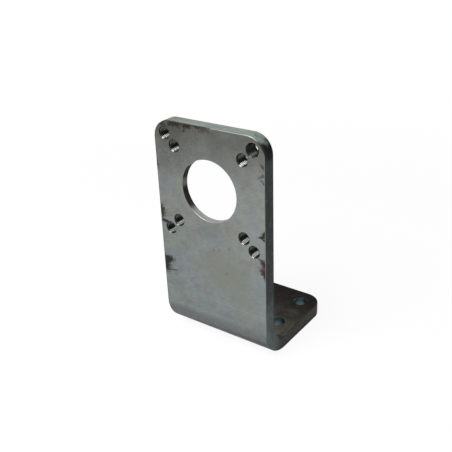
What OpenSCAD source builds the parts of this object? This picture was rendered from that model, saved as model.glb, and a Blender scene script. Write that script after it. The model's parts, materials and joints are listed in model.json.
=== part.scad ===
// Motor mounting bracket: one thick steel plate, bent once into an upright plate and a foot.
// The motor bolts behind the upright plate, with its body over the foot.
// Frame: origin on the underside at the middle of the footprint, +Z up, +X across the width.
// The front face looks along -Y, and the foot runs back along +Y.

/* [Plate] */
// Width of the plate and of the foot
plate_w = 80; // [76:1:140]
// Height from the underside of the foot to the top edge
plate_h = 150; // [125:1:240]
// Thickness of the steel
plate_t = 9; // [6:0.5:12]
// Radius of the two top corners
top_corner_r = 12; // [4:1:25]
// Inside radius of the bend
bend_r = 13; // [4:1:20]

/* [Foot] */
// Depth from the front face to the rear edge of the foot
foot_l = 75; // [70:1:160]
// Radius of the foot's two rear corners
foot_corner_r = 12; // [4:1:25]
// Diameter of the four clearance holes in the foot
foot_hole_d = 9; // [5.5:0.5:13]
// Distance between the foot's hole centres across the width
foot_hole_gap_x = 56; // [30:1:60]
// Distance between the foot's hole centres from front to back
foot_hole_gap_y = 30; // [16:1:32]
// Distance from the rear edge to the rear hole centres
foot_hole_inset = 12; // [9:1:15]
// Width of the broken edge at each mouth of a foot hole
foot_hole_break = 0.5; // [0.2:0.1:1]

/* [Motor seat] */
// Diameter of the shaft bore
bore_d = 40; // [20:0.5:45]
// Distance from the top edge to the bore's centre
bore_drop = 40; // [36:1:60]
// Width of the broken edge at the front of the bore
bore_break = 0.4; // [0.2:0.1:1]
// Diameter of the motor spigot's recess in the rear face
recess_d = 50; // [46:0.5:56]
// Depth of the recess
recess_depth = 4.5; // [1:0.5:5]

/* [Tapped holes] */
// Tapping drill of the thread
tap_d = 6.8; // [4.2:0.1:8.5]
// Countersink diameter at the front of a tapped hole
tap_mouth_d = 8.2; // [7:0.1:9.5]
// Countersink diameter of the one hole that was countersunk deeper
wide_mouth_d = 9.2; // [7:0.1:10.5]
// Width of the broken edge at the rear of a tapped hole
tap_break = 0.4; // [0.2:0.1:0.8]
// Diameter of the inner circle of hole centres
inner_circle_d = 70; // [66:0.5:72]
// Diameter of the outer circle of hole centres
outer_circle_d = 90; // [88:0.5:92]

/* [Hidden] */
$fn = 96;
// How far a cutter runs past the face that it opens
over = 1;
bend_out_r = bend_r + plate_t;
bore_z = plate_h - bore_drop;
rear_hole_y = foot_l - foot_hole_inset;
foot_hole_mouth_d = foot_hole_d + 2 * foot_hole_break;
tap_rear_mouth_d = tap_d + 2 * tap_break;
// Place on the outer circle of the hole with the wide mouth, by angle from +X
wide_mouth_angle = 45;
steel = [0.55, 0.57, 0.56];

// The bent plate seen from its right side: x is depth from the front face, y is height.
module side_profile() {
    translate([0, bend_out_r])
        square([plate_t, plate_h - bend_out_r]);
    translate([bend_out_r, 0])
        square([foot_l - bend_out_r, plate_t]);
    translate([bend_out_r, bend_out_r])
        intersection() {
            difference() {
                circle(r = bend_out_r);
                circle(r = bend_r);
            }
            translate([-bend_out_r, -bend_out_r])
                square(bend_out_r);
        }
}

// A strip of the plate's width, from 0 to len, whose far end has round corners of radius r.
module round_ended_strip(len, r) {
    translate([-plate_w / 2, 0])
        square([plate_w, len - r]);
    translate([-plate_w / 2 + r, len - 2 * r])
        square([plate_w - 2 * r, 2 * r]);
    for (side = [-1, 1])
        translate([side * (plate_w / 2 - r), len - r])
            circle(r = r);
}

// The blank after bending, its front face at y = 0.
module bent_plate() {
    intersection() {
        rotate([90, 0, 90])
            translate([0, 0, -plate_w / 2])
                linear_extrude(plate_w)
                    side_profile();
        translate([0, foot_l, 0])
            rotate([90, 0, 0])
                linear_extrude(foot_l)
                    round_ended_strip(plate_h, top_corner_r);
        linear_extrude(plate_h)
            round_ended_strip(foot_l, foot_corner_r);
    }
}

// A 45 degree mouth cut into a face at z = 0, with the steel above it.
module mouth(d, mouth_d) {
    translate([0, 0, -over])
        cylinder(h = (mouth_d - d) / 2 + over, d1 = mouth_d + 2 * over, d2 = d);
}

// A hole drilled along +Z through thick, with a mouth at each end.
module mouthed_hole(d, near_mouth_d, far_mouth_d, thick) {
    translate([0, 0, -over])
        cylinder(h = thick + 2 * over, d = d);
    mouth(d, near_mouth_d);
    translate([0, 0, thick])
        mirror([0, 0, 1])
            mouth(d, far_mouth_d);
}

// Puts its child, made along +Z, on the bore's axis, running back from the front face.
module from_front() {
    translate([0, 0, bore_z])
        rotate([-90, 0, 0])
            children();
}

// Bore for the motor's shaft and, in the rear face, the recess for its spigot.
module motor_seat() {
    from_front() {
        translate([0, 0, -over])
            cylinder(h = plate_t + 2 * over, d = bore_d);
        mouth(bore_d, bore_d + 2 * bore_break);
        translate([0, 0, plate_t - recess_depth])
            cylinder(h = recess_depth + over, d = recess_d);
    }
}

// Diameter of the front mouth of the tapped hole at one place on a circle.
function front_mouth_d(circle_d, angle) =
    circle_d == outer_circle_d && angle == wide_mouth_angle ? wide_mouth_d : tap_mouth_d;

// Four tapped holes on the diagonals of each of the two circles.
module tapped_holes() {
    for (circle_d = [inner_circle_d, outer_circle_d], angle = [45:90:315])
        from_front()
            rotate([0, 0, -angle])
                translate([circle_d / 2, 0, 0])
                    mouthed_hole(tap_d, front_mouth_d(circle_d, angle), tap_rear_mouth_d, plate_t);
}

// Four plain holes that bolt the foot down.
module foot_holes() {
    for (side = [-1, 1], row = [0, 1])
        translate([side * foot_hole_gap_x / 2, rear_hole_y - row * foot_hole_gap_y, 0])
            mouthed_hole(foot_hole_d, foot_hole_mouth_d, foot_hole_mouth_d, plate_t);
}

module bracket() {
    color(steel)
        translate([0, -foot_l / 2, 0])
            difference() {
                bent_plate();
                motor_seat();
                tapped_holes();
                foot_holes();
            }
}

bracket();
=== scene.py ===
# %% [markdown]
# # A motor mounting bracket
#
# The real thing is one piece of 9 mm steel plate. It was cut to an outline with round corners, ground on
# its outer side, drilled, bored and tapped, and then folded once in a press brake, so that it has an
# upright plate and a foot. A motor bolts to the back of the upright, and four screws hold the foot down.
#
# The frame gives every size that something has to fit. This script puts a finer mesh in the same place:
# broken edges, real threads in the tapped holes, and a finish for each kind of surface.

# %% The frame
import json
import math

import bmesh
import bpy
from mathutils import Matrix, Vector


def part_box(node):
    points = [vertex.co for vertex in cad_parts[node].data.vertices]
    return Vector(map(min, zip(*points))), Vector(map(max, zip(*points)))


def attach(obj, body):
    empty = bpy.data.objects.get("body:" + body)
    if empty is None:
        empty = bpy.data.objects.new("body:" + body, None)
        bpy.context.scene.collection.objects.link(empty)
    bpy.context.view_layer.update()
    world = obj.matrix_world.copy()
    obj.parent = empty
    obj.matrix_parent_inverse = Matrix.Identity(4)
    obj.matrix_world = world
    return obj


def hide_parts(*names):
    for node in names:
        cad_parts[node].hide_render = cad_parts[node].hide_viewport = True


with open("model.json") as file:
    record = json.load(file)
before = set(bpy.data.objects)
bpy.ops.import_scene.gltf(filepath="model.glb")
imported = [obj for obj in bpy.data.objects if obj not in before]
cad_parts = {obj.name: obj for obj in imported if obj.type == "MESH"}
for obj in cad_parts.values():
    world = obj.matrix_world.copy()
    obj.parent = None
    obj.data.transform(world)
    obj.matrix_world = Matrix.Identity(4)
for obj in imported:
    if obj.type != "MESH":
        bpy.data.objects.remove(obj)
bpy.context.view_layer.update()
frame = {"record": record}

# %% [markdown]
# ## Sizes
#
# All lengths are in metres, in the frame of the part: the origin is on the underside in the middle of the
# footprint, Z is up, and the front face looks along -Y. The outer box and the record's mounts give most
# sizes. Only what they don't hold is written here: the bend, the corners and the small breaks that a file
# or a countersink leaves at an edge. A cutter runs a little past the face that it opens, because two faces
# in one plane confuse a Boolean.

# %% Sizes
MM = 0.001

low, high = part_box("bracket")
mounts = {mount["name"]: mount for mount in frame["record"]["mounts"]}
front_y = low.y
back_y = mounts["motor_face"]["pos_m"][1]
plate_t = back_y - front_y
half_w = high.x
rear_y = high.y
top_z = high.z

bend_inner_r = 13 * MM
bend_outer_r = bend_inner_r + plate_t
bend_axis = Vector((0, front_y + bend_outer_r, low.z + bend_outer_r))
corner_r = 12 * MM
edge_break = 0.45 * MM
past = 1 * MM

bore_centre = Vector((0, front_y, mounts["pilot_bore"]["pos_m"][2]))
bore_r = mounts["pilot_bore"]["dims"]["r_mm"] * MM
bore_break = 0.2 * MM
recess_r = mounts["spigot_recess"]["dims"]["r_mm"] * MM
recess_depth = mounts["spigot_recess"]["dims"]["length_mm"] * MM

print("thickness", round(plate_t / MM, 2), "mm, outer bend radius", round(bend_outer_r / MM, 2), "mm")

# %% [markdown]
# ## The camera
#
# It looks at the front from the right and from above, as a person does who holds the bracket on a table.
# A camera that is placed by its angles round a point is easy to reason about: the azimuth turns it round
# the object, the elevation lifts it, and the roll tips the picture a little.

# %% Camera
VIEW_AZIMUTH = 36.641
VIEW_ELEVATION = 26.009
VIEW_ROLL = -2.2474
VIEW_DISTANCE = 0.43133
VIEW_TARGET = Vector((-0.0019223, -0.0190245, 0.0791400))
LENS = 53.797
SENSOR_WIDTH = 36.0


def way_to(azimuth, elevation):
    """The way from the bracket to something at these angles in degrees, from the front and up."""
    turn, lift = math.radians(azimuth), math.radians(elevation)
    return Vector((
        math.sin(turn) * math.cos(lift),
        -math.cos(turn) * math.cos(lift),
        math.sin(lift),
    ))


view_back = way_to(VIEW_AZIMUTH, VIEW_ELEVATION)
view_turn = (-view_back).to_track_quat("-Z", "Y").to_matrix()
view_roll = Matrix.Rotation(math.radians(VIEW_ROLL), 3, "Z")
camera = bpy.data.objects.new("camera", bpy.data.cameras.new("camera"))
camera.data.lens = LENS
camera.data.sensor_width = SENSOR_WIDTH
camera.data.clip_start = 0.01
camera.data.clip_end = 50.0
camera.rotation_mode = "QUATERNION"
camera.location = VIEW_TARGET + view_back * VIEW_DISTANCE
camera.rotation_quaternion = (view_turn @ view_roll).to_quaternion()
bpy.context.scene.collection.objects.link(camera)
bpy.context.scene.camera = camera
bpy.context.scene.view_settings.view_transform = "Standard"
print("camera at", [round(value, 4) for value in camera.location])

# %% [markdown]
# ## Names for the finishes
#
# One plate shows several surfaces. Its outer side was ground, its inner side still has the dark mill scale
# of hot rolling, its rim was sawn and then only partly dressed, its edges were broken, and the cutters
# left bare metal in the holes. Each is a material slot, and every face knows the number of its slot before
# anything is cut. The materials themselves come later, so the slots are filled with plain ones for now.

# %% Slots
FINISHES = ["ground_face", "rim", "mill_scale", "edge", "bored", "thread", "countersunk", "drilled"]
SLOT = {name: index for index, name in enumerate(FINISHES)}
finish = {name: bpy.data.materials.new(name) for name in FINISHES}


def new_piece(name, shape, materials):
    """Turns a bmesh into an object at the origin, with these materials in its slots."""
    mesh = bpy.data.meshes.new(name)
    shape.to_mesh(mesh)
    shape.free()
    for material in materials:
        mesh.materials.append(material)
    piece = bpy.data.objects.new(name, mesh)
    bpy.context.scene.collection.objects.link(piece)
    return piece


def tally(piece):
    """Prints how many faces a piece has."""
    print(piece.name, "has", len(piece.data.polygons), "faces")


print("slots:", SLOT)

# %% [markdown]
# ## Folding the plate
#
# A press brake keeps the thickness as it folds, so the two faces of the bend are arcs round one axis. The
# mesh is made the same way: the outline of a flat section is swept along the foot, a quarter turn round
# the bend axis, and up the upright. A Simple Deform modifier could bend a flat plate too, but then the
# radius would only be close to the one in the frame. The sweep carries edges and no face, because a face
# that is swept along stays behind as a wall inside the steel. The two ends are closed last.

# %% Fold
BEND_STEPS = 24


def newest(geometry, kind):
    """The parts of one kind in what an operator gives back."""
    return [item for item in geometry if isinstance(item, kind)]


def open_edges(shape):
    """How many edges don't join exactly two faces."""
    return sum(not edge.is_manifold for edge in shape.edges)


def volume(shape):
    """What a closed bmesh holds, in cubic millimetres."""
    return round(shape.calc_volume(signed=True) / MM ** 3, 1)


def section_outline():
    """The four edges of the plate's section, standing at the rear end of the foot."""
    shape = bmesh.new()
    bmesh.ops.create_grid(shape, x_segments=1, y_segments=1, size=0.5)
    bmesh.ops.delete(shape, geom=shape.faces[:], context="FACES_ONLY")
    upright = Matrix.Rotation(math.radians(90), 4, "X")
    place = Matrix.Translation((0, rear_y, low.z + plate_t / 2)) @ upright
    bmesh.ops.transform(shape, matrix=place @ Matrix.Diagonal((2 * half_w, plate_t, 1, 1)), verts=shape.verts)
    return shape


def push(shape, edges, way):
    """Extrudes a ring of edges by a vector and gives back the new ring."""
    made = bmesh.ops.extrude_edge_only(shape, edges=edges)["geom"]
    bmesh.ops.translate(shape, vec=way, verts=newest(made, bmesh.types.BMVert))
    return newest(made, bmesh.types.BMEdge)


def fold_plate():
    """The folded plate, with square edges and corners."""
    shape = section_outline()
    ring = push(shape, shape.edges[:], (0, bend_axis.y - rear_y, 0))
    swept = bmesh.ops.spin(
        shape, geom=ring, cent=bend_axis, axis=(1, 0, 0), angle=math.radians(-90), steps=BEND_STEPS,
        use_merge=False,
    )
    ring = newest(swept["geom_last"], bmesh.types.BMEdge)
    push(shape, ring, (0, 0, top_z - bend_axis.z))
    bmesh.ops.holes_fill(shape, edges=[edge for edge in shape.edges if edge.is_boundary], sides=4)
    bmesh.ops.recalc_face_normals(shape, faces=shape.faces)
    return shape


plate = fold_plate()
print("folded plate:", len(plate.faces), "faces, open edges:", open_edges(plate))
print("volume", volume(plate), "mm3")

# %% [markdown]
# ## Which face has which surface
#
# Before any corner is rounded, each face of the fold belongs plainly to the outer side, the inner side or
# the rim, so this is the moment to give it its slot. The round corners will take the rim's slot from their
# neighbours, and the broken edges will get one of their own.

# %% Slots of the faces
def at_an_end(point):
    """True at the top of the upright and at the rear end of the foot."""
    return point.y > rear_y - MM or point.z > top_z - MM


def slot_of(face):
    """The slot of a face of the square-edged plate."""
    if at_an_end(face.calc_center_median()) or abs(face.normal.x) > 0.9:
        return SLOT["rim"]
    if face.normal.y + face.normal.z < 0:
        return SLOT["ground_face"]
    return SLOT["mill_scale"]


for face in plate.faces:
    face.material_index = slot_of(face)
for name in ("ground_face", "rim", "mill_scale"):
    print(name, sum(face.material_index == SLOT[name] for face in plate.faces), "faces")

# %% [markdown]
# ## Round corners and broken edges
#
# The four corners have a radius of 12 mm, cut with the outline. Their edges run through the thickness, at
# the two ends of the plate. After that every sharp edge is taken off by about half a millimetre, as a
# sander does. This narrow band has a slot of its own, because an edge wears otherwise than the faces
# beside it.

# %% Corners and breaks
CORNER_STEPS = 20
BREAK_STEPS = 3
SHARP = math.radians(40)


def round_over(shape, edges, size, steps):
    """Bevels edges to a round profile and gives back the new faces."""
    made = bmesh.ops.bevel(
        shape, geom=edges, offset=size, offset_type="OFFSET", segments=steps, profile=0.5,
        affect="EDGES", clamp_overlap=False, material=-1,
    )
    return made["faces"]


def is_corner(edge):
    """True for the four edges across the thickness where an end meets a side."""
    middle = (edge.verts[0].co + edge.verts[1].co) / 2
    on_side = abs(middle.x) > half_w - MM
    return on_side and at_an_end(middle) and abs(edge.calc_length() - plate_t) < 0.1 * MM


corner_edges = [edge for edge in plate.edges if is_corner(edge)]
round_over(plate, corner_edges, corner_r, CORNER_STEPS)
sharp_edges = [edge for edge in plate.edges if edge.calc_face_angle(0) > SHARP]
for face in round_over(plate, sharp_edges, edge_break, BREAK_STEPS):
    face.material_index = SLOT["edge"]
print(len(corner_edges), "corners rounded,", len(sharp_edges), "edges broken")
bracket_plate = new_piece("bracket_plate", plate, finish.values())
tally(bracket_plate)

# %% [markdown]
# ## A tap for the threads
#
# The eight small holes on the diagonals carry an M8 thread with a pitch of 1.25 mm. A hole with real
# grooves shows bright flanks and dark roots from any side, which a bump pattern can't do. A screw thread
# is one short profile that turns and climbs at once: `spin` does that when it is given a step to move by.
# The result is a solid like a tap, closed at both ends, and the plate is cut with it. It is made too long
# and cut level, because a spun thread has ragged ends.

# %% Thread
thread_pitch = 1.25 * MM
thread_core_r = mounts["motor_bolts_inner"]["dims"]["hole_r_mm"] * MM
thread_root_r = 4.0 * MM
thread_root_flat = 0.16 * MM
thread_flank = (thread_root_r - thread_core_r) * math.tan(math.radians(30))
thread_crest_flat = thread_pitch - 2 * thread_flank - thread_root_flat
STEPS_A_TURN = 28
SPARE_TURNS = 3
WELD = 0.002 * MM


def chain(shape, points):
    """A string of edges through points given as (distance from the Z axis, height)."""
    corners = [shape.verts.new((radius, 0, height)) for radius, height in points]
    return [shape.edges.new(pair) for pair in zip(corners, corners[1:])]


def close_seams(shape):
    """Joins doubled corners, caps open ends and turns the faces outwards."""
    bmesh.ops.remove_doubles(shape, verts=shape.verts, dist=WELD)
    bmesh.ops.holes_fill(shape, edges=[edge for edge in shape.edges if edge.is_boundary], sides=0)
    bmesh.ops.recalc_face_normals(shape, faces=shape.faces)


def trim(shape, height, keep_above):
    """Cuts a shape level at a height and drops one side of it."""
    bmesh.ops.bisect_plane(
        shape, geom=shape.verts[:] + shape.edges[:] + shape.faces[:], plane_co=(0, 0, height),
        plane_no=(0, 0, 1), clear_outer=not keep_above, clear_inner=keep_above,
    )


def set_slot(shape, name):
    """Gives every face of a bmesh one finish."""
    for face in shape.faces:
        face.material_index = SLOT[name]


def make_tap():
    """The solid that cuts one threaded hole, standing on Z, with z = 0 at the front of the plate."""
    shape = bmesh.new()
    flank_end = thread_crest_flat + thread_flank
    profile = chain(shape, [
        (thread_core_r, 0),
        (thread_core_r, thread_crest_flat),
        (thread_root_r, flank_end),
        (thread_root_r, flank_end + thread_root_flat),
        (thread_core_r, thread_pitch),
    ])
    turns = math.ceil((plate_t + 2 * past) / thread_pitch) + SPARE_TURNS
    bmesh.ops.spin(
        shape, geom=profile, cent=(0, 0, 0), axis=(0, 0, 1), angle=turns * math.tau,
        steps=turns * STEPS_A_TURN, dvec=(0, 0, thread_pitch / STEPS_A_TURN), use_merge=False,
    )
    bmesh.ops.remove_doubles(shape, verts=shape.verts, dist=WELD)
    bmesh.ops.translate(shape, vec=(0, 0, -past - 2 * thread_pitch), verts=shape.verts)
    trim(shape, -past, keep_above=True)
    trim(shape, plate_t + past, keep_above=False)
    close_seams(shape)
    set_slot(shape, "thread")
    return shape


tap = make_tap()
print("tap:", len(tap.faces), "faces, open edges:", open_edges(tap))
print("crest", round(thread_crest_flat / MM, 3), "mm wide, volume", volume(tap), "mm3")

# %% [markdown]
# ## Cutters for the round work
#
# A bored hole, a drilled hole and a countersink are all turned shapes, so each cutter is a profile spun
# once round. The profile is written as a turner would draw it, from the front of the steel to the back,
# with a 45 degree break wherever a deburring tool went round an edge.

# %% Turned cutters
BORE_STEPS = 144
HOLE_STEPS = 56
tap_mouth_r = 4.15 * MM
wide_mouth_r = 4.45 * MM
tap_rear_mouth_r = thread_core_r + 0.1 * MM
foot_hole_r = mounts["foot_bolts"]["dims"]["hole_r_mm"] * MM
foot_hole_x = mounts["foot_bolts"]["dims"]["spacing_x_mm"] / 2 * MM
foot_hole_break = 0.25 * MM


def turned(profile, steps, slot):
    """A solid of revolution on Z, from points given as (radius, height)."""
    shape = bmesh.new()
    edges = chain(shape, profile)
    bmesh.ops.spin(
        shape, geom=edges, cent=(0, 0, 0), axis=(0, 0, 1), angle=math.tau, steps=steps, use_merge=True,
    )
    close_seams(shape)
    set_slot(shape, slot)
    return shape


def make_seat_cutter():
    """The bore from the front and the wider recess for the motor's spigot from behind."""
    shoulder = plate_t - recess_depth
    return turned([
        (0, -past),
        (bore_r + bore_break + past, -past),
        (bore_r, bore_break),
        (bore_r, shoulder),
        (recess_r, shoulder),
        (recess_r, plate_t - bore_break),
        (recess_r + bore_break + past, plate_t + past),
        (0, plate_t + past),
    ], BORE_STEPS, "bored")


def make_foot_drill():
    """One clearance hole of the foot, from the underside up."""
    return turned([
        (0, -past),
        (foot_hole_r + foot_hole_break + past, -past),
        (foot_hole_r, foot_hole_break),
        (foot_hole_r, plate_t - foot_hole_break),
        (foot_hole_r + foot_hole_break + past, plate_t + past),
        (0, plate_t + past),
    ], HOLE_STEPS, "drilled")


def make_countersink(mouth_r):
    """A 90 degree countersink, with its mouth at z = 0 and its tip inside the hole."""
    return turned([(0, -past), (mouth_r + past, -past), (0, mouth_r)], HOLE_STEPS, "countersunk")


print("countersinks in mm:", round(2 * tap_mouth_r / MM, 2), "and once", round(2 * wide_mouth_r / MM, 2))

# %% [markdown]
# ## Where the holes are
#
# A place is a matrix that carries a cutter from its own axis to the hole. The tapped holes sit on the
# diagonals of two circles round the bore. One of the eight, the outer hole at the upper right, was
# countersunk deeper than the rest. A tap starts to cut at any angle, so each diagonal has its own.

# %% Places
FROM_FRONT = Matrix.Rotation(math.radians(-90), 4, "X")
TURNED_OVER = Matrix.Translation((0, 0, plate_t)) @ Matrix.Rotation(math.radians(180), 4, "X")
CIRCLES = ("motor_bolts_inner", "motor_bolts_outer")
DIAGONALS = (45, 135, 225, 315)
WIDE_ONE = ("motor_bolts_outer", 45)
START_FACTOR = 67


def circle_radius(circle):
    """The radius of one of the two circles of hole centres."""
    return mounts[circle]["dims"]["pcd_mm"] / 2 * MM


def tapped_places():
    """For each tapped hole, its name and the matrix that carries a cutter there from Z."""
    for circle in CIRCLES:
        for angle in DIAGONALS:
            turn = math.radians(angle)
            centre = bore_centre + Vector((math.cos(turn), 0, math.sin(turn))) * circle_radius(circle)
            start = Matrix.Rotation(math.radians(START_FACTOR * angle), 4, "Z")
            yield (circle, angle), Matrix.Translation(centre) @ FROM_FRONT @ start


def foot_places():
    """The matrices of the foot's four holes."""
    spacing = mounts["foot_bolts"]["dims"]
    middle = Vector(mounts["foot_bolts"]["pos_m"])
    for side in (-0.5, 0.5):
        for row in (-0.5, 0.5):
            offset = Vector((side * spacing["spacing_x_mm"], row * spacing["spacing_y_mm"], 0)) * MM
            yield Matrix.Translation(middle + offset)


def stamp(target, pattern, place):
    """Adds a copy of one bmesh to another, at a place."""
    carried = bpy.data.meshes.new("carried")
    pattern.to_mesh(carried)
    carried.transform(place)
    target.from_mesh(carried)
    bpy.data.meshes.remove(carried)


def make_thread_cutters():
    """All eight taps in one mesh."""
    shape = bmesh.new()
    for _, place in tapped_places():
        stamp(shape, tap, place)
    return shape


def make_round_cutters():
    """The bore, the foot's holes and every countersink in one mesh."""
    shape = bmesh.new()
    stamp(shape, make_seat_cutter(), Matrix.Translation(bore_centre) @ FROM_FRONT)
    for place in foot_places():
        stamp(shape, make_foot_drill(), place)
    rear_mouth = make_countersink(tap_rear_mouth_r)
    for name, place in tapped_places():
        front_mouth = make_countersink(wide_mouth_r if name == WIDE_ONE else tap_mouth_r)
        stamp(shape, front_mouth, place)
        stamp(shape, rear_mouth, place @ TURNED_OVER)
    return shape


thread_cutters = new_piece("thread_cutters", make_thread_cutters(), finish.values())
round_cutters = new_piece("round_cutters", make_round_cutters(), finish.values())
tally(thread_cutters)
tally(round_cutters)

# %% [markdown]
# ## Cutting
#
# A Boolean modifier takes the cutters away from the plate. The exact solver is slower than the fast one,
# but it keeps the thin lands of the thread whole. With `material_mode` set to INDEX the new faces keep the
# slot of the cutter that made them, so each hole has its own finish at once. The threads go first and the
# countersinks after them, as in the workshop.

# %% Cut
def settle(piece):
    """Replaces a piece's mesh by what its modifiers make of it."""
    graph = bpy.context.evaluated_depsgraph_get()
    finished = bpy.data.meshes.new_from_object(piece.evaluated_get(graph))
    piece.modifiers.clear()
    piece.data = finished


def cut(piece, cutter):
    """Takes a cutter's solids away from a piece and deletes the cutter."""
    boolean = piece.modifiers.new("cut", "BOOLEAN")
    boolean.operation = "DIFFERENCE"
    boolean.solver = "EXACT"
    boolean.material_mode = "INDEX"
    boolean.object = cutter
    settle(piece)
    bpy.data.objects.remove(cutter)


cut(bracket_plate, thread_cutters)
cut(bracket_plate, round_cutters)
tally(bracket_plate)

# %% [markdown]
# ## Shading
#
# The faces are flat, but a turned wall should look round. Every face is set smooth, and the edges that
# are really sharp are marked so. The large flat faces then need care: at a broken edge the normals would
# lean over and darken the flat. A Weighted Normal modifier lets the biggest face decide, which keeps it
# flat to its border.

# %% Shade
SMOOTH_UNDER = math.radians(34)
SLIVER = 0.0005 * MM


def shade(piece):
    """Sets smooth faces with sharp edges, and keeps the flats flat."""
    shape = bmesh.new()
    shape.from_mesh(piece.data)
    bmesh.ops.remove_doubles(shape, verts=shape.verts, dist=SLIVER)
    bmesh.ops.dissolve_degenerate(shape, edges=shape.edges, dist=SLIVER)
    for face in shape.faces:
        face.smooth = True
    for edge in shape.edges:
        edge.smooth = edge.is_manifold and edge.calc_face_angle(0) < SMOOTH_UNDER
    print("open edges:", open_edges(shape), "volume", volume(shape), "mm3")
    shape.to_mesh(piece.data)
    shape.free()
    weighted = piece.modifiers.new("flats stay flat", "WEIGHTED_NORMAL")
    weighted.mode = "FACE_AREA"
    weighted.keep_sharp = True


shade(bracket_plate)
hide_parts("bracket")
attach(bracket_plate, "root")

# %% [markdown]
# ## Tools for the finishes
#
# Every finish is a Principled shader whose colour, roughness and bump come from a few patterns. The
# patterns read Object coordinates, which are metres in the frame of the part, so a pattern's size is a
# length that can be measured on the real plate. These helpers keep the node work short.

# %% Node helpers
def wire(tree, node, inputs):
    """Links or fills the inputs of a node, given by name or by number."""
    for name, value in inputs.items():
        if isinstance(value, bpy.types.NodeSocket):
            tree.links.new(value, node.inputs[name])
        else:
            node.inputs[name].default_value = value


def put(tree, kind, inputs=None, **settings):
    """Adds a node, sets its options, and links or fills its inputs."""
    made = tree.nodes.new(kind)
    for name, value in settings.items():
        setattr(made, name, value)
    wire(tree, made, inputs or {})
    return made


def shader_of(material):
    """Starts a material's node tree and gives it back with its Principled shader."""
    material.use_nodes = True
    return material.node_tree, material.node_tree.nodes["Principled BSDF"]


def count_nodes(name):
    """Prints how many nodes a finish has."""
    print(name, "has", len(finish[name].node_tree.nodes), "nodes")


def colour(red, green, blue):
    """A colour with its alpha."""
    return (red, green, blue, 1.0)


def grey(value):
    """A grey from black at 0 to white at 1."""
    return colour(value, value, value)


# %% Sums
def calc(tree, operation, first, second=0.0):
    """One sum on two values."""
    return put(tree, "ShaderNodeMath", {0: first, 1: second}, operation=operation).outputs[0]


def in_turn(tree, operation, values):
    """Takes several values together, from left to right."""
    result = values[0]
    for value in values[1:]:
        result = calc(tree, operation, result, value)
    return result


def total(tree, *values):
    """Several values added up."""
    return in_turn(tree, "ADD", values)


def product(tree, *values):
    """Several values multiplied."""
    return in_turn(tree, "MULTIPLY", values)


def any_of(tree, *masks):
    """The strongest of several masks."""
    return in_turn(tree, "MAXIMUM", masks)


def away_from(tree, value, middle):
    """How far a value is from a middle, on either side."""
    return calc(tree, "ABSOLUTE", calc(tree, "SUBTRACT", value, middle))


def swing(tree, pattern, amount):
    """Turns noise round a half into a value round nought."""
    return product(tree, calc(tree, "SUBTRACT", pattern, 0.5), amount)


def fade(tree, value, start, end, low_value=0.0, high_value=1.0):
    """Goes smoothly from low_value to high_value while value goes from start to end."""
    inputs = {"Value": value, "From Min": start, "From Max": end, "To Min": low_value, "To Max": high_value}
    return put(tree, "ShaderNodeMapRange", inputs, interpolation_type="SMOOTHSTEP").outputs["Result"]


def by_mask(tree, mask, at_none, at_full):
    """Goes from one value to another as a mask goes from 0 to 1."""
    return fade(tree, mask, 0.0, 1.0, at_none, at_full)


# %% Colours, places and noise
def blend(tree, amount, first, second):
    """Mixes two colours."""
    return put(tree, "ShaderNodeMix", {0: amount, 6: first, 7: second}, data_type="RGBA").outputs[2]


def lay_over(tree, tone, layers):
    """Lays colours over a tone in turn, each as far as its mask says."""
    for mask, layer in layers:
        tone = blend(tree, mask, tone, layer)
    return tone


def dim(tree, tone, factor):
    """Makes a colour lighter or darker."""
    return put(tree, "ShaderNodeVectorMath", {0: tone, "Scale": factor}, operation="SCALE").outputs[0]


def place_on_part(tree):
    """The point on the plate, in metres."""
    return put(tree, "ShaderNodeTexCoord").outputs["Object"]


def axes_of(tree, vector):
    """The three parts of a vector."""
    return put(tree, "ShaderNodeSeparateXYZ", {0: vector}).outputs


def on_plane(tree, first, second):
    """A point whose x and z are two values, so that a patch can lie on any side."""
    return put(tree, "ShaderNodeCombineXYZ", {0: first, 2: second}).outputs[0]


def vector_calc(tree, operation, first, second=(0, 0, 0)):
    """One sum on two vectors. A length or a dot product is a plain value."""
    made = put(tree, "ShaderNodeVectorMath", {0: first, 1: second}, operation=operation)
    return made.outputs["Value" if operation in ("LENGTH", "DOT_PRODUCT") else "Vector"]


def clouds(tree, place, size, detail=3.0, rough=0.5, shift=0.0):
    """Noise from about 0.3 to 0.7 whose blots have the given size in mm, as one number or as (x, y, z)."""
    sizes = size if isinstance(size, tuple) else (size, size, size)
    scale = [1 / (length * MM) for length in sizes]
    mapping = {"Vector": place, "Scale": scale, "Location": (shift, shift, shift)}
    moved = put(tree, "ShaderNodeMapping", mapping).outputs[0]
    inputs = {"Vector": moved, "Scale": 1.0, "Detail": detail, "Roughness": rough}
    return put(tree, "ShaderNodeTexNoise", inputs).outputs[0]


def drift(tree, place, size, amount, **noise):
    """Noise round nought. It reaches about a fifth of the amount each way."""
    return swing(tree, clouds(tree, place, size, **noise), amount)


def bump(tree, height, depth):
    """A bump whose full height is depth in mm."""
    inputs = {"Height": height, "Distance": depth * MM, "Strength": 1.0}
    return put(tree, "ShaderNodeBump", inputs).outputs[0]


# %% [markdown]
# ## Patches on the front
#
# The marks on the front are scale that the grinder missed at the edges, some scratches, and the line that
# the brake's die pressed into the steel. Each is an ellipse given by its centre, its reach and its turn in
# the plane of the front, all in mm. Noise is added to the distance from its centre, which frays its rim.
# A painted image could show them too, but it would be tied to one size of picture.
#
# The patches of a list are joined one by one, each to the strongest so far, and they stay out of the bump.
# Cycles has room for 255 values at once in a material, and it draws one that needs more as plain black.

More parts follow.
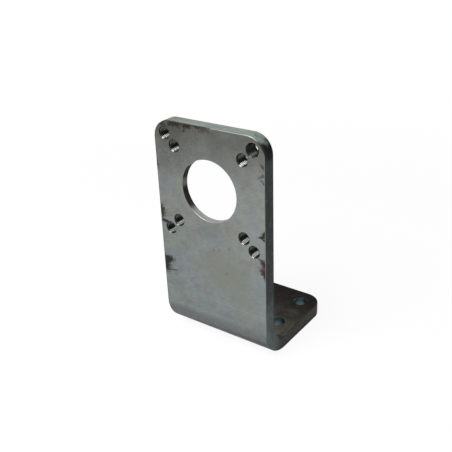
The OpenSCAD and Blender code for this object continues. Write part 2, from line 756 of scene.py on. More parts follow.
# %% Patch helpers
def patch(tree, place, fray, centre, reach, turn=0.0, core=0.35):
    """1 in the middle of an ellipse on the front, and 0 outside it. centre and reach are (x, z) in mm."""
    inputs = {
        "Vector": place,
        "Location": (centre[0] * MM, 0, centre[1] * MM),
        "Rotation": (0, math.radians(-turn), 0),
        "Scale": (reach[0] * MM, 1.0, reach[1] * MM),
    }
    local = put(tree, "ShaderNodeMapping", inputs, vector_type="TEXTURE").outputs[0]
    apart = vector_calc(tree, "LENGTH", local)
    return fade(tree, total(tree, apart, fray), core, 1.0, 1.0, 0.0)


def patches(tree, place, fray, rows, core=0.35):
    """One mask for a whole list of patches, each with its own strength."""
    strongest = 0.0
    for centre, reach, turn, strength in rows:
        mask = product(tree, patch(tree, place, fray, centre, reach, turn, core), strength)
        strongest = any_of(tree, strongest, mask)
    return strongest


# %% Marks on the front, each as centre, reach, turn, strength
TOP_SCALE = (
    ((-33, 147.6), (5.0, 2.6), -24, 0.8),
    ((-25, 149.2), (6.0, 3.6), 0, 0.9),
    ((-15, 149.6), (6.5, 3.9), 0, 0.95),
    ((-7, 149.8), (5, 2.5), 0, 0.8),
)
TOP_RED = (
    ((-20, 148.8), (4.0, 3.4), 0, 0.6),
    ((-2.0, 148.9), (9.0, 3.6), -6, 0.5),
)
DARK_SCALE = (
    ((-40.3, 120.5), (2.6, 4.6), 0, 0.85),
    ((-40.6, 88.5), (6.0, 6.6), 0, 0.9),
    ((-36.5, 82.0), (6.4, 1.5), -4, 0.95),
    ((-41, 50.0), (8.0, 9.0), 0, 0.97),
    ((-38, 53.6), (8.5, 4.0), 14, 0.97),
    ((40.4, 92.0), (5.0, 2.4), 38, 0.97),
    ((38.6, 89.6), (5.4, 1.3), 14, 0.95),
    ((40.0, 87.4), (4.2, 1.2), -22, 0.9),
    ((41.0, 98.0), (1.6, 3.2), 0, 0.5),
    ((39.3, 132.5), (4.4, 1.3), -38, 0.6),
    ((38.2, 127.5), (4.6, 1.2), 30, 0.55),
    ((39.0, 123.5), (4.0, 1.2), -42, 0.5),
    ((40.4, 108), (1.2, 9.0), 0, 0.4),
    ((40.6, 62.5), (2.6, 5.0), 14, 0.9),
    ((37.5, 73.0), (4.6, 0.9), -36, 0.6),
    ((-33, 46.6), (6.0, 0.7), 12, 0.7),
)
RED_SCALE = (
    ((40.0, 71.0), (6.0, 3.6), -38, 0.95),
    ((40.0, 66.0), (6.4, 4.4), -16, 0.95),
)
DULL = (
    ((0, 83), (14, 9), 0, 0.35),
    ((-34, 124), (17, 17), 0, 0.95),
    ((-22, 124), (12, 13), 0, 0.7),
    ((27, 122), (9, 8), 0, 0.45),
    ((10, 25.5), (46, 4.5), 0, 0.26),
    ((-20, 134), (13, 10), 0, 0.25),
)
OLIVE = (
    ((10, 56), (32, 26), 0, 0.9),
    ((22, 40), (20, 15), 0, 0.7),
    ((-6, 92), (16, 10), 0, 0.3),
)
HAIRY = (
    ((-16, 149), (22, 8), 0, 0.75),
    ((-38, 89), (7, 9), 0, 0.5),
    ((-36, 48), (9, 9), 20, 0.4),
    ((37.5, 70), (7, 9), 0, 0.45),
    ((38, 128), (5, 11), 10, 0.4),
)
SCRATCHES = (
    ((-19.5, 81.8), (3.4, 0.35), -4, 0.6),
    ((-30, 45.5), (4.0, 0.3), 18, 0.5),
    ((-31, 43.5), (3.0, 0.3), 14, 0.4),
    ((-33, 39), (5.0, 0.4), -28, 0.35),
    ((-27, 37), (5.0, 0.4), -30, 0.3),
    ((-31, 33), (4.0, 0.4), -34, 0.3),
    ((-37, 73.5), (3.0, 0.3), -25, 0.35),
    ((37.5, 125), (2.6, 0.3), 32, 0.4),
    ((37, 122), (3.0, 0.3), -38, 0.35),
    ((27, 128), (6, 0.25), 70, 0.12),
    ((-12, 52), (9, 0.25), 50, 0.12),
)
DOTS = (
    ((1.8, 71), (1.3, 0.9), 10, 0.55),
    ((5.7, 72), (1.2, 0.9), 0, 0.5),
    ((13.4, 75), (1.2, 1.0), 0, 0.6),
    ((11, 57), (2.2, 1.0), 20, 0.35),
    ((-24.5, 92.5), (0.9, 1.4), 0, 0.45),
    ((-33, 115), (0.9, 1.0), 0, 0.45),
    ((31, 118.5), (1.6, 0.7), 15, 0.25),
)
print(len(DARK_SCALE) + len(RED_SCALE) + len(TOP_SCALE) + len(TOP_RED), "patches of scale,",
      len(SCRATCHES), "scratches,", len(DOTS), "dots")

# %% [markdown]
# ## Ground steel
#
# The outer side was ground and then handled. It is a dull grey metal with clouds of blue, olive and brown,
# darker and warmer towards the top. Painted shade makes it darker again where it turns under in the bend,
# and painted light makes it a little lighter towards the right. Only part of its light is a metal's
# mirror-like reflection: a ground face is rough enough to look like a plain grey from most sides, so Metallic
# stays well under one.

# %% Ground colour
BLUE_GREY = colour(0.232, 0.264, 0.262)
NEUTRAL_GREY = colour(0.240, 0.256, 0.238)
WARM_GREY = colour(0.112, 0.115, 0.103)
# Painted shade for the front where it turns under in the bend.
BEND_SHADE = colour(0.080, 0.082, 0.086)
BEND_SLOPE = 0.05
STROKE_TURN = math.radians(24)
TINTS = (
    # tint, size of its clouds in mm, their shift, the most of it
    (colour(0.208, 0.250, 0.272), 14, 3.0, 0.6),
    (colour(0.228, 0.235, 0.190), 12, 9.0, 0.55),
    (colour(0.232, 0.238, 0.266), 9, 33.0, 0.5),
    (colour(0.195, 0.185, 0.158), 8, 21.0, 0.25),
)


def ground_tone(tree, place, height):
    """The greys from the bend to the top, with blue, olive, violet and brown clouds."""
    level = total(tree, height, drift(tree, place, 28, 60 * MM, detail=2.0))
    low_down = fade(tree, level, 100 * MM, 135 * MM, 1.0, 0.25)
    tone = blend(tree, fade(tree, level, 52 * MM, 90 * MM), BLUE_GREY, NEUTRAL_GREY)
    tone = blend(tree, fade(tree, level, 112 * MM, 150 * MM), tone, WARM_GREY)
    for tint, size, shift, most in TINTS:
        amount = fade(tree, clouds(tree, place, size, shift=shift), 0.46, 0.72, 0.0, most)
        tone = blend(tree, product(tree, amount, low_down), tone, tint)
    return tone


def turned_under(tree, across, height):
    """How much painted shade darkens the front as it turns down into the bend. The border slopes a little."""
    level = calc(tree, "SUBTRACT", height, product(tree, across, BEND_SLOPE))
    start = fade(tree, level, 18.5 * MM, 24 * MM, 0.31, 0.0)
    under = fade(tree, level, 9.5 * MM, 15.5 * MM, 1.0, 0.0)
    return any_of(tree, start, under)


def ground_light(tree, place, across):
    """How light the steel is from spot to spot: mottled, stroked by the wheel, grained, and with painted
    light towards the right.
    """
    # Painted light: the front grows lighter towards the right.
    to_right = fade(tree, across, -half_w, half_w, 0.96, 1.09)
    mottle = drift(tree, place, 4.5, 0.45, detail=4.0, shift=5.0)
    grain = drift(tree, place, 0.6, 0.40, detail=2.0)
    slanted = put(tree, "ShaderNodeMapping", {"Vector": place, "Rotation": (0, STROKE_TURN, 0)})
    strokes = drift(tree, slanted.outputs[0], (7, 7, 0.6), 0.34, shift=17.0)
    return total(tree, mottle, to_right, strokes, grain)


def ground_colour(tree, place, across, height):
    """The clouded grey without its marks."""
    # The bend is painted darker here, as shade where the front turns down away from the lamp.
    tone = blend(tree, turned_under(tree, across, height), ground_tone(tree, place, height), BEND_SHADE)
    return dim(tree, tone, ground_light(tree, place, across))


# %% Masks of the marks
DIE_LINES = (
    # height in mm, strength
    (33.6, 1.0),
    (36.0, 0.3),
    (31.4, 0.35),
)


def die_lines(tree, place, across, height):
    """Faint light lines where the edges of the brake's die pressed the front, broken off at the left."""
    broken = fade(tree, clouds(tree, place, (9, 9, 1.5), shift=4.0), 0.45, 0.6)
    whole = fade(tree, across, -2 * MM, 14 * MM, 0.25, 1.0)
    kept = any_of(tree, broken, product(tree, whole, 0.6))
    lines = []
    for level, strength in DIE_LINES:
        line = fade(tree, away_from(tree, height, level * MM), 0.1 * MM, 0.5 * MM, 1.0, 0.0)
        lines.append(product(tree, line, strength))
    return product(tree, any_of(tree, *lines), kept)


def scale_masks(tree, place, fray, soft_fray):
    """Where brown and where red scale is left on the front."""
    hairy = total(
        tree,
        drift(tree, place, (0.8, 0.8, 2.4), 2.4, detail=5.0, rough=0.65),
        drift(tree, place, 2.6, 2.2, shift=23.0),
    )
    brown = any_of(
        tree,
        patches(tree, place, fray, DARK_SCALE, core=0.5),
        patches(tree, place, hairy, TOP_SCALE, core=0.3),
    )
    red = any_of(
        tree,
        patches(tree, place, fray, RED_SCALE, core=0.4),
        patches(tree, place, hairy, TOP_RED, core=0.1),
    )
    strokes = fade(tree, clouds(tree, place, (0.5, 0.5, 4.0), shift=7.0), 0.52, 0.66)
    hairs = product(tree, strokes, patches(tree, place, soft_fray, HAIRY, core=0.1))
    return any_of(tree, brown, hairs), red


# %% Ground face
PALE_BLUE = colour(0.27, 0.305, 0.325)
OLIVE_GREY = colour(0.224, 0.238, 0.204)
DULL_GREY = colour(0.14, 0.15, 0.145)
CORNER_BROWN = colour(0.072, 0.064, 0.052)
PRESSED_LIGHT = colour(0.38, 0.41, 0.41)
SCRATCH_GREY = colour(0.07, 0.07, 0.065)
SCALE_BROWN = colour(0.020, 0.016, 0.013)
SCALE_RED = colour(0.062, 0.026, 0.023)
GROUND_METAL = 0.2
SCALE_METAL = 0.05
BLUE_SPOT = ((31, 88), (17, 17), 0)
BROWN_SPOT = ((-28, 143), (38, 26), -25)


def make_ground_face():
    """The front: the clouded grey, its patches and scratches, and the scale left at its edges."""
    tree, shader = shader_of(finish["ground_face"])
    place = place_on_part(tree)
    across, _, height = axes_of(tree, place)
    fray = drift(tree, place, (1.5, 1.5, 1.1), 1.5, detail=5.0, rough=0.65)
    soft_fray = drift(tree, place, 1.2, 0.8)
    brown, red = scale_masks(tree, place, fray, soft_fray)
    scale_and_painted_light = any_of(tree, brown, red)
    blue_spot = patch(tree, place, soft_fray, *BLUE_SPOT, core=0.0)
    brown_spot = patch(tree, place, soft_fray, *BROWN_SPOT, core=0.0)
    scratches = patches(tree, place, soft_fray, SCRATCHES, core=0.1)
    dots = patches(tree, place, soft_fray, DOTS, core=0.1)
    left_edge = fade(tree, across, low.x + 0.3 * MM, low.x + 0.9 * MM, 0.55, 0.0)
    tone = lay_over(tree, ground_colour(tree, place, across, height), (
        (product(tree, blue_spot, 0.5), PALE_BLUE),
        (patches(tree, place, soft_fray, OLIVE, core=0.0), OLIVE_GREY),
        (patches(tree, place, soft_fray, DULL, core=0.0), DULL_GREY),
        (product(tree, brown_spot, 0.6), CORNER_BROWN),
        (product(tree, die_lines(tree, place, across, height), 0.5), PRESSED_LIGHT),
        (any_of(tree, scratches, dots), SCRATCH_GREY),
        (left_edge, SCALE_BROWN),
        (red, SCALE_RED),
        (brown, SCALE_BROWN),
    ))
    rough = total(tree, drift(tree, place, 6, 0.35, shift=2.0), 0.44, product(tree, scale_and_painted_light, 0.15))
    lines = clouds(tree, place, (0.18, 0.18, 7.0), detail=2.0)
    pits = clouds(tree, place, 0.7, shift=8.0)
    relief = total(tree, product(tree, lines, 0.5), pits)
    wire(tree, shader, {
        "Base Color": tone,
        "Roughness": rough,
        "Metallic": by_mask(tree, scale_and_painted_light, GROUND_METAL, SCALE_METAL),
        "Specular IOR Level": 0.1,
        "Normal": bump(tree, relief, 0.02),
    })


make_ground_face()
count_nodes("ground_face")

# %% [markdown]
# ## The rim
#
# The top edge and the round corners were dressed on a belt, so they are as light as the front. The dressing
# fades out round the corner: the long sides keep the dark blue scale, and a near black patch lies on each
# corner a little below the top. Where the steel stretched in the bend, some of the scale has come away, and a
# short dark mark, a painted shadow, lies beside the right end of the inner bend. The object normal tells the
# sides from the ends, and it stays with the part whichever way one looks.

# %% Rim colours
DRESSED = colour(0.200, 0.233, 0.217)
DRESSED_BROWN = colour(0.168, 0.166, 0.148)
SIDE_SCALE = colour(0.073, 0.094, 0.089)
SIDE_DARK = colour(0.046, 0.053, 0.050)
SIDE_BARE = colour(0.205, 0.245, 0.248)
FOOT_SIDE = colour(0.054, 0.055, 0.046)
NEAR_BLACK = colour(0.006, 0.007, 0.007)
SIDE_MARK = ((-20.5, 9.7), (4.2, 1.7), -20)


def end_tone(tree, place, across):
    """The dressed ends: streaked by the belt, and brown towards the left."""
    reach = total(tree, across, drift(tree, place, 3, 30 * MM, shift=8.0))
    brown_end = fade(tree, reach, -28 * MM, -10 * MM, 0.6, 0.0)
    belt = drift(tree, place, (14, 1.3, 1.3), 0.9, shift=19.0)
    return dim(tree, blend(tree, brown_end, DRESSED, DRESSED_BROWN), total(tree, belt, 1.0))


def side_tone(tree, place, depth, height):
    """The long sides: dark scale, bare at the bend, brown along the foot, and painted shade in black along
    the bottom.
    """
    level = total(tree, height, drift(tree, place, 9, 30 * MM))
    near_bend = product(
        tree,
        fade(tree, level, 24 * MM, 50 * MM, 1.0, 0.0),
        fade(tree, depth, -20 * MM, 5 * MM, 1.0, 0.15),
    )
    return lay_over(tree, SIDE_SCALE, (
        (near_bend, SIDE_BARE),
        (fade(tree, clouds(tree, place, (6, 6, 14), shift=6.0), 0.45, 0.65, 0.0, 0.4), SIDE_DARK),
        (fade(tree, depth, -33.5 * MM, -18 * MM, 0.0, 0.95), FOOT_SIDE),
        # Painted shade along the bottom, next to the floor.
        (fade(tree, height, 0.2 * MM, 4.2 * MM, 0.85, 0.0), NEAR_BLACK),
    ))


# %% Rim
def dark_corner_patch(tree, place, depth, height):
    """A near black patch on each corner a little below the top. A wander of a few mm makes its borders
    uneven.
    """
    level = total(tree, height, drift(tree, place, 4, 12 * MM, detail=4.0, shift=11.0))
    return product(
        tree,
        fade(tree, level, 143.6 * MM, 148.6 * MM, 1.0, 0.0),
        fade(tree, level, 132 * MM, 140.5 * MM),
        fade(tree, depth, front_y, front_y + 4 * MM, 0.78, 1.0),
    )


def rear_line(tree, depth, height):
    """A thin dark line along the upright's rear edge, which ends at the bend: a painted dark reflection in
    the rounded edge.
    """
    line = fade(tree, away_from(tree, depth, back_y), 0.5 * MM, 1.3 * MM, 0.5, 0.0)
    return product(tree, line, fade(tree, height, 17 * MM, 24 * MM))


def bend_mark(tree, place, across, depth, height):
    """The painted shadow of a small raised spot beside the right end of the inner bend, as a patch on the
    plate's right side.
    """
    fray = drift(tree, place, 1.2, 0.6)
    mark = patch(tree, on_plane(tree, depth, height), fray, *SIDE_MARK, core=0.3)
    return product(tree, mark, fade(tree, across, 30 * MM, 38 * MM, 0.0, 0.85))


def make_rim():
    """The thickness of the plate, all round its outline."""
    tree, shader = shader_of(finish["rim"])
    coordinates = put(tree, "ShaderNodeTexCoord")
    place = coordinates.outputs["Object"]
    across, depth, height = axes_of(tree, place)
    sideways = calc(tree, "ABSOLUTE", axes_of(tree, coordinates.outputs["Normal"])[0])
    on_side = fade(tree, total(tree, sideways, drift(tree, place, 5, 0.9, detail=4.0)), 0.6, 0.95)
    tone = blend(tree, on_side, end_tone(tree, place, across), side_tone(tree, place, depth, height))
    tone = lay_over(tree, tone, (
        (dark_corner_patch(tree, place, depth, height), NEAR_BLACK),
        # Painted dark reflection along the rear edge of the sides.
        (product(tree, rear_line(tree, depth, height), on_side), NEAR_BLACK),
        # Painted shadow beside the right end of the inner bend.
        (bend_mark(tree, place, across, depth, height), NEAR_BLACK),
    ))
    strokes = clouds(tree, place, (0.35, 9.0, 0.35), detail=2.0)
    mottle = drift(tree, place, 2.2, 0.6, detail=4.0, shift=3.0)
    relief = total(tree, strokes, clouds(tree, place, 0.8))
    wire(tree, shader, {
        "Base Color": dim(tree, tone, total(tree, mottle, swing(tree, strokes, 0.45), 1.0)),
        "Roughness": total(tree, drift(tree, place, 3, 0.4), 0.46),
        "Metallic": 0.2,
        "Specular IOR Level": 0.03,
        "Normal": bump(tree, relief, 0.03),
    })


make_rim()
count_nodes("rim")

# %% [markdown]
# ## The broken edges
#
# Along the top the belt went over the edges too. The front one carries a painted highlight at the right,
# strongest near the corner, and old scale covers it at the left. Down the sides the edges are as dark as the
# scale beside them, apart from the strip next to the face at the right front, which has the grey of the face.
# They are lighter in the bend and a little lighter round the foot, but for the painted shadow of the short
# dark mark by the inner bend.

# %% Edges
# The colour of the painted highlight on the top front edge.
EDGE_HIGHLIGHT = colour(0.43, 0.46, 0.44)
EDGE_DARK = colour(0.024, 0.026, 0.026)
EDGE_BEND = colour(0.100, 0.112, 0.110)
EDGE_FOOT = colour(0.042, 0.042, 0.036)


def top_front_edge(tree, place, across, height, at_front):
    """The painted highlight along the top front edge, strongest near the corner, and how much scale covers
    the edge.
    """
    line = product(tree, fade(tree, height, top_z - 2.2 * MM, top_z - 0.8 * MM), at_front)
    reach = total(tree, across, drift(tree, place, 3, 30 * MM))
    # Painted highlight, strongest where the edge turns into the corner.
    in_corner = fade(tree, away_from(tree, across, 30 * MM), 1 * MM, 6 * MM, 0.4, 0.0)
    to_right = total(tree, fade(tree, reach, 0, 8 * MM, 0.0, 0.3), in_corner)
    to_left = fade(tree, reach, -1 * MM, 7 * MM, 0.85, 0.0)
    return product(tree, line, to_right), product(tree, line, to_left)


def make_edge():
    """The narrow band along every outer edge."""
    tree, shader = shader_of(finish["edge"])
    place = place_on_part(tree)
    across, depth, height = axes_of(tree, place)
    at_front = fade(tree, depth, front_y + 0.6 * MM, front_y + 1.2 * MM, 1.0, 0.0)
    at_right = fade(tree, across, 30 * MM, 38 * MM)
    painted_highlight, covered = top_front_edge(tree, place, across, height, at_front)
    # The same painted shadow beside the right end of the inner bend.
    mark = product(
        tree,
        fade(tree, away_from(tree, depth, -20 * MM), 2.5 * MM, 5 * MM, 0.95, 0.0),
        fade(tree, height, 6 * MM, 8 * MM),
        at_right,
    )
    below_top = product(
        tree,
        fade(tree, height, top_z - 3.4 * MM, top_z - 1.8 * MM, 0.9, 0.0),
        fade(tree, height, 30 * MM, 45 * MM),
    )
    beside_face = product(
        tree,
        at_right,
        fade(tree, depth, front_y + 0.12 * MM, front_y + 0.30 * MM, 0.9, 0.0),
        fade(tree, height, top_z - 12 * MM, top_z - 6 * MM, 1.0, 0.0),
    )
    tone = lay_over(tree, EDGE_BEND, (
        (fade(tree, height, 18 * MM, 40 * MM), EDGE_DARK),
        (fade(tree, depth, -18 * MM, -8 * MM), EDGE_FOOT),
        (mark, NEAR_BLACK),
        (fade(tree, height, top_z - 9 * MM, top_z - 2 * MM), DRESSED),
        (product(tree, at_front, below_top), EDGE_DARK),
        (beside_face, NEUTRAL_GREY),
        # Painted highlight on the top front edge.
        (painted_highlight, EDGE_HIGHLIGHT),
        (covered, SCALE_BROWN),
    ))
    wire(tree, shader, {"Base Color": tone, "Roughness": 0.4, "Metallic": 0.3, "Specular IOR Level": 0.05})


make_edge()
count_nodes("edge")

# %% [markdown]
# ## Mill scale
#
# The inner side was never ground. Hot rolling leaves a hard oxide there, dark brown to blue grey, which
# flakes where the fold squeezed it. So the inner bend is lighter, and the foot grows darker towards its rear
# end. At the right end of the bend a painted highlight and a painted shadow stand for a small raised spot;
# the shadow is the dark mark that also crosses the rim.

# %% Inner side
SCALE_DARK = colour(0.0140, 0.0088, 0.0060)
SCALE_BLUE = colour(0.0170, 0.0138, 0.0100)
SCALE_WORN = colour(0.290, 0.285, 0.235)
SCALE_UPRIGHT = colour(0.042, 0.046, 0.045)
RUBBED = colour(0.12, 0.115, 0.105)
# The painted highlight and the painted shadow of a small raised spot at the right end of the bend.
SPOT_HIGHLIGHT = colour(0.36, 0.37, 0.30)
BEND_MARK = colour(0.010, 0.009, 0.007)
HIGHLIGHT_SPOTS = (
    # centre and reach in x and y, turn, strength
    ((34.5, -15.5), (2.6, 2.4), 0, 0.35),
)
MARK_SPOTS = (
    ((38.3, -19.5), (3.2, 3.2), 0, 0.95),
)


def worn_bend(tree, across, back, up):
    """How much of the scale has come away in the bend and beside it."""
    return product(
        tree,
        fade(tree, back, -32 * MM, 24 * MM, 1.0, 0.0),
        fade(tree, up, 16 * MM, 48 * MM, 1.0, 0.0),
        fade(tree, calc(tree, "ABSOLUTE", across), 33 * MM, 38.5 * MM, 1.0, 0.5),
    )


def make_mill_scale():
    """The back of the upright, the inner bend and the top of the foot."""
    tree, shader = shader_of(finish["mill_scale"])
    place = place_on_part(tree)
    across, depth, height = axes_of(tree, place)
    wander = drift(tree, place, 7, 35 * MM, detail=4.0)
    back = total(tree, depth, wander)
    up = total(tree, height, wander)
    tone = lay_over(tree, SCALE_DARK, (
        (fade(tree, clouds(tree, place, 13, shift=2.0), 0.46, 0.62, 0.0, 0.7), SCALE_BLUE),
        (fade(tree, up, 24 * MM, 60 * MM), SCALE_UPRIGHT),
        (worn_bend(tree, across, back, up), SCALE_WORN),
    ))
    mottle = drift(tree, place, 1.8, 1.4, detail=5.0, rough=0.6, shift=4.0)
    # The foot grows darker towards its rear end.
    tone = dim(tree, tone, total(tree, mottle, fade(tree, back, 20 * MM, 38 * MM, 1.15, 0.3)))
    rub = fade(tree, clouds(tree, place, (3, 3, 0.5), shift=14.0), 0.60, 0.72, 0.0, 0.35)
    from_above = on_plane(tree, across, depth)
    fray = drift(tree, place, 1.4, 0.9, detail=4.0)
    tone = lay_over(tree, tone, (
        (rub, RUBBED),
        # Painted highlight, then painted shadow, of the small raised spot.
        (patches(tree, from_above, fray, HIGHLIGHT_SPOTS), SPOT_HIGHLIGHT),
        (patches(tree, from_above, fray, MARK_SPOTS), BEND_MARK),
    ))
    relief = clouds(tree, place, 0.9, detail=5.0, rough=0.6)
    wire(tree, shader, {
        "Base Color": tone,
        "Roughness": total(tree, drift(tree, place, 4, 0.5), 0.5),
        "Metallic": 0.05,
        "Specular IOR Level": 0.05,
        "Normal": bump(tree, relief, 0.05),
    })


make_mill_scale()
count_nodes("mill_scale")

# %% [markdown]
# ## The bore
#
# A boring tool leaves rings round the axis. They are one pattern on the distance from the axis plus the
# depth, so they are rings on the wall and circles on the shoulder of the recess alike. Painted shade darkens
# the left of the wall, with a lighter band in its middle, and the right of the wall is painted a little
# darker.

# %% Bore
BORED_TONE = colour(0.282, 0.286, 0.270)
BORED_SHADE = colour(0.020, 0.019, 0.017)
RING_PITCH = 0.25 * MM


def bored_rings(tree, place, depth):
    """The tool's rings, as noise along one line."""
    from_axis = vector_calc(tree, "SUBTRACT", place, (0, 0, bore_centre.z))
    radius = vector_calc(tree, "LENGTH", vector_calc(tree, "MULTIPLY", from_axis, (1, 0, 1)))
    along = calc(tree, "DIVIDE", total(tree, radius, depth), RING_PITCH)
    inputs = {"W": along, "Scale": 1.0, "Detail": 2.0}
    return put(tree, "ShaderNodeTexNoise", inputs, noise_dimensions="1D").outputs[0]


def bored_painted_shade(tree, place, across, height):
    """Where the left of the wall is painted dark, as shade."""
    wander = drift(tree, place, 6, 20 * MM, detail=4.0)
    level = total(tree, height, product(tree, wander, 0.3))
    return product(
        tree,
        fade(tree, total(tree, across, wander), -16 * MM, -10 * MM, 1.0, 0.0),
        fade(tree, level, 93.0 * MM, 97.8 * MM),
        fade(tree, away_from(tree, level, 112 * MM), 1 * MM, 5 * MM, 0.35, 1.0),
    )


def make_bored():
    """The bore's wall and the recess behind it."""
    tree, shader = shader_of(finish["bored"])
    place = place_on_part(tree)
    across, depth, height = axes_of(tree, place)
    rings = bored_rings(tree, place, depth)
    painted_shade = bored_painted_shade(tree, place, across, height)
    light = total(
        tree,
        total(tree, swing(tree, rings, 0.5), drift(tree, place, 3, 0.5)),
        # Painted shade: the right of the wall is a little darker.
        fade(tree, across, -4 * MM, 8 * MM, 1.0, 0.75),
    )
    # Painted shade on the left of the wall.
    tone = blend(tree, product(tree, painted_shade, 0.95), BORED_TONE, BORED_SHADE)
    wire(tree, shader, {
        "Base Color": dim(tree, tone, light),
        "Roughness": 0.38,
        "Metallic": 0.25,
        "Specular IOR Level": by_mask(tree, painted_shade, 0.2, 0.0),
        "Normal": bump(tree, rings, 0.02),
    })


make_bored()
count_nodes("bored")

# %% [markdown]
# ## Threads and countersinks
#
# The thread is painted nearly black, as the shade inside a hole, and light is painted on its crests: at the
# bottom of each hole near the front, where the lamp reaches, and more faintly at the upper left. For that a
# finish has to know which way a point lies from the axis of its own hole: the sign of x and of the height
# over the bore's centre picks the diagonal, and the nearer of the two circles picks the hole. The hole with
# the deep countersink has red rust in its thread and gets little of the painted light.

# %% Ways in a tapped hole
def ways_from_axis(tree, place):
    """The way from the axis of the nearest tapped hole, straight out, and the distance."""
    across, _, height = axes_of(tree, place)
    up = calc(tree, "SUBTRACT", height, bore_centre.z)
    point = on_plane(tree, across, up)
    ways = []
    for circle in CIRCLES:
        reach = circle_radius(circle) * math.sqrt(0.5)
        to_side = product(tree, calc(tree, "SIGN", across), reach)
        to_top = product(tree, calc(tree, "SIGN", up), reach)
        way = vector_calc(tree, "SUBTRACT", point, on_plane(tree, to_side, to_top))
        ways.append((way, vector_calc(tree, "LENGTH", way)))
    (inner, inner_r), (outer, outer_r) = ways
    is_inner = calc(tree, "LESS_THAN", inner_r, outer_r)
    way = put(tree, "ShaderNodeMix", {0: is_inner, 4: outer, 5: inner}, data_type="VECTOR").outputs[1]
    return way, calc(tree, "MINIMUM", inner_r, outer_r)


def points_to(tree, way, radius, direction):
    """1 where a way from the axis has this direction, and less the further it turns from it."""
    return calc(tree, "DIVIDE", vector_calc(tree, "DOT_PRODUCT", way, direction), radius)


def in_wide_hole(tree, place):
    """1 in the hole that was countersunk deeper, and 0 in the other seven."""
    across, _, height = axes_of(tree, place)
    outwards = calc(tree, "SUBTRACT", total(tree, across, height), bore_centre.z)
    return fade(tree, outwards, 55 * MM, 58 * MM)


# %% Thread
# Near-black tones that stand in for the shade inside the holes.
THREAD_SHADE_DARK = colour(0.007, 0.009, 0.007)
THREAD_SHADE_PALE = colour(0.018, 0.021, 0.018)
THREAD_RUST = colour(0.060, 0.022, 0.018)
CREST_LIT = colour(0.26, 0.28, 0.25)
# Painted light on the crests, at the bottom of each hole.
CREST_PAINTED_LIGHT = colour(0.56, 0.56, 0.545)
BELOW = (-0.31, 0, -0.951)
UPPER_LEFT = (-0.64, 0, 0.77)


def make_thread():
    """The tapped grooves: painted nearly black as shade, with painted light on the crests at the bottom and
    at the upper left.
    """
    tree, shader = shader_of(finish["thread"])
    place = place_on_part(tree)
    depth = axes_of(tree, place)[1]
    way, radius = ways_from_axis(tree, place)
    wide = in_wide_hole(tree, place)
    crest = fade(tree, radius, thread_core_r + 0.03 * MM, thread_core_r + 0.25 * MM, 1.0, 0.0)
    # Painted light on the crests at the bottom of each hole, where the lamp falls.
    scale_and_painted_light = fade(tree, points_to(tree, way, radius, BELOW), 0.90, 0.955)
    # The painted light reaches only this far into the hole.
    near_front = fade(tree, depth, front_y + 6 * MM, front_y + 8 * MM, 1.0, 0.2)
    lit = fade(tree, points_to(tree, way, radius, UPPER_LEFT), 0.35, 0.9, 0.0, 0.9)
    shade_mottle = fade(tree, clouds(tree, place, 1.2), 0.35, 0.65)
    rust = fade(tree, clouds(tree, place, 0.8, shift=5.0), 0.54, 0.64, 0.0, 0.7)
    tone = lay_over(tree, THREAD_SHADE_DARK, (
        (shade_mottle, THREAD_SHADE_PALE),
        (product(tree, rust, wide), THREAD_RUST),
        (product(tree, lit, by_mask(tree, wide, 1.0, 0.06), crest), CREST_LIT),
        (product(tree, scale_and_painted_light, crest, by_mask(tree, wide, 1.0, 0.1), near_front), CREST_PAINTED_LIGHT),
    ))
    wire(tree, shader, {"Base Color": tone, "Roughness": 0.4, "Metallic": 0.9, "Specular IOR Level": 0.1})


make_thread()
count_nodes("thread")

# %% Countersinks
# Dark tones that stand in for the reflection of a dark surround in the polished cones.
SINK_DARK_REFLECTION = colour(0.022, 0.023, 0.021)
SINK_PALE_REFLECTION = colour(0.045, 0.046, 0.042)
SINK_GLINT = colour(0.33, 0.33, 0.315)
SINK_BELOW = (-0.30, 0, -0.954)
LOWER_RIGHT = (0.42, 0, -0.907)


def make_countersunk():
    """The cones at the mouths of the tapped holes: painted dark as a dark reflection, with a painted glint at
    the bottom.
    """
    tree, shader = shader_of(finish["countersunk"])
    place = place_on_part(tree)
    way, radius = ways_from_axis(tree, place)
    wide = in_wide_hole(tree, place)
    below = fade(tree, points_to(tree, way, radius, SINK_BELOW), 0.945, 0.985)
    aside = fade(tree, points_to(tree, way, radius, LOWER_RIGHT), 0.93, 0.99)
    # Painted glints: the lamp's highlight at the bottom, and at the lower right in the wide hole.
    glint = any_of(
        tree,
        product(tree, below, by_mask(tree, wide, 0.18, 0.0)),
        product(tree, aside, product(tree, wide, 0.25)),
    )
    reflection_mottle = fade(tree, clouds(tree, place, 1.5), 0.35, 0.65)
    # The painted dark reflection, darker still in the wide hole.
    tone = dim(tree, blend(tree, reflection_mottle, SINK_DARK_REFLECTION, SINK_PALE_REFLECTION), by_mask(tree, wide, 1.0, 0.6))
    tone = blend(tree, glint, tone, SINK_GLINT)
    wire(tree, shader, {"Base Color": tone, "Roughness": 0.25, "Metallic": 0.8, "Specular IOR Level": 0.1})


make_countersunk()
count_nodes("countersunk")

# %% [markdown]
# ## The foot's holes
#
# They were drilled through the scale, and their walls are tinted blue green. The walls of the two in sight
# are painted lighter towards the middle of the foot and darker on the other side, as light and shade. The
# hidden two are taken as their mirror, so the finish works with the distance from the middle on either side.

# %% Drilled holes
DRILLED_DARK = colour(0.045, 0.095, 0.10)
DRILLED_PALE = colour(0.10, 0.17, 0.175)


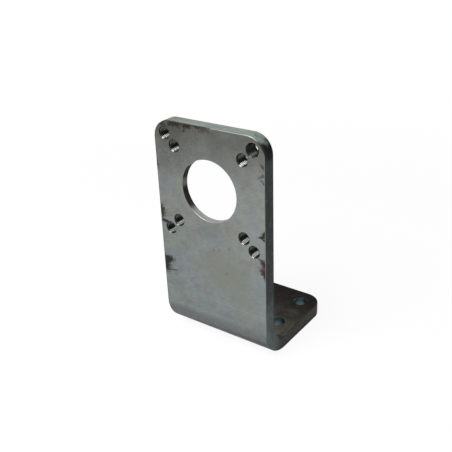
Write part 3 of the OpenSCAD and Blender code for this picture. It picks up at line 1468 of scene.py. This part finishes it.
def make_drilled():
    """The walls of the foot's holes: painted light towards the middle of the foot, and dark at their upper
    mouth.
    """
    tree, shader = shader_of(finish["drilled"])
    place = place_on_part(tree)
    across, _, height = axes_of(tree, place)
    rings = clouds(tree, place, (9, 9, 0.3), detail=2.0)
    tone = blend(tree, fade(tree, clouds(tree, place, 3), 0.4, 0.6), DRILLED_DARK, DRILLED_PALE)
    aside = calc(tree, "SUBTRACT", calc(tree, "ABSOLUTE", across), foot_hole_x)
    # Painted light towards the middle of the foot, painted shade on the other side.
    light = total(tree, swing(tree, rings, 0.6), fade(tree, aside, -3 * MM, 3.2 * MM, 1.8, 0.2))
    mouth = fade(tree, height, plate_t - 0.6 * MM, plate_t - 0.2 * MM, 1.0, 0.35)
    wire(tree, shader, {
        "Base Color": dim(tree, tone, product(tree, light, mouth)),
        "Roughness": 0.35,
        "Metallic": 0.3,
        "Normal": bump(tree, rings, 0.02),
    })


make_drilled()
count_nodes("drilled")
print("finishes:", ", ".join(material.name for material in bracket_plate.data.materials))

# %% [markdown]
# ## Surround and floor
#
# The background is pure white, while the plate is lit softly. So the surround and the floor tell two kinds
# of ray apart. To the camera, to reflections and through glass they are white, and as light on the plate
# they are much dimmer. Near the part the floor still takes a little of its brightness from the lamp, so
# that it keeps the shadow. Further off it is plain white and has no horizon.

# %% Surround
AMBIENT = 0.25
WHITE = grey(1.0)


def is_seen(tree):
    """1 for what the camera sees, also in a mirror or through glass, and 0 for light on the object."""
    path = put(tree, "ShaderNodeLightPath")
    kinds = ("Is Camera Ray", "Is Glossy Ray", "Is Transmission Ray")
    return any_of(tree, *[path.outputs[kind] for kind in kinds])


def make_surround():
    """White for the camera and for reflections, softer as light."""
    world = bpy.data.worlds.new("surround")
    bpy.context.scene.world = world
    world.use_nodes = True
    tree = world.node_tree
    strength = by_mask(tree, is_seen(tree), AMBIENT, 1.0)
    wire(tree, tree.nodes["Background"], {"Color": WHITE, "Strength": strength})


make_surround()
print("surround lights at", AMBIENT)

# %% Floor
FLOOR_R = 6.0
FLOOR_STEPS = 64
FLOOR_DROP = 0.05 * MM
FLOOR_TONE = 0.15
FLOOR_SEEN = 0.96
FLOOR_LIFT = 0.91
LIFT_FROM = 0.1
LIFT_TO = 0.6


def make_pale_floor():
    """A matt material that keeps the shadow and turns white away from it."""
    pale = bpy.data.materials.new("pale_floor")
    tree, shader = shader_of(pale)
    seen = is_seen(tree)
    tone = blend(tree, seen, grey(FLOOR_TONE), grey(FLOOR_SEEN))
    wire(tree, shader, {"Base Color": tone, "Roughness": 0.8, "Specular IOR Level": 0.0})
    white = put(tree, "ShaderNodeEmission", {"Color": WHITE, "Strength": 1.0})
    apart = vector_calc(tree, "LENGTH", place_on_part(tree))
    lift = product(tree, seen, fade(tree, apart, LIFT_FROM, LIFT_TO, FLOOR_LIFT, 1.0))
    mixed = put(tree, "ShaderNodeMixShader", {0: lift, 1: shader.outputs[0], 2: white.outputs[0]})
    wire(tree, tree.nodes["Material Output"], {"Surface": mixed.outputs[0]})
    return pale


def make_floor():
    """A round floor just under the foot."""
    shape = bmesh.new()
    bmesh.ops.create_circle(shape, cap_ends=True, segments=FLOOR_STEPS, radius=FLOOR_R)
    bmesh.ops.translate(shape, vec=(0, 0, low.z - FLOOR_DROP), verts=shape.verts)
    return new_piece("floor", shape, [make_pale_floor()])


floor = make_floor()
tally(floor)

# %% [markdown]
# ## The lamp
#
# One large soft lamp stands high in front, a little to the left. It is strongest on the top edge, reaches
# into the lower wall of each hole, and leaves the right side and the foot in shade.

# %% Lamp
def add_lamp(name, azimuth, elevation, distance, width, power):
    """A square soft lamp that faces the middle of the bracket from the given angles in degrees."""
    away = way_to(azimuth, elevation)
    lamp = bpy.data.objects.new(name, bpy.data.lights.new(name, "AREA"))
    lamp.data.shape = "SQUARE"
    lamp.data.size = width
    lamp.data.energy = power
    lamp.location = VIEW_TARGET + away * distance
    lamp.rotation_mode = "QUATERNION"
    lamp.rotation_quaternion = away.to_track_quat("Z", "Y")
    bpy.context.scene.collection.objects.link(lamp)
    return lamp


key = add_lamp("key", azimuth=-9, elevation=52, distance=1.2, width=0.6, power=17.5)
print(key.name, "lamp at", [round(value, 3) for value in key.location])
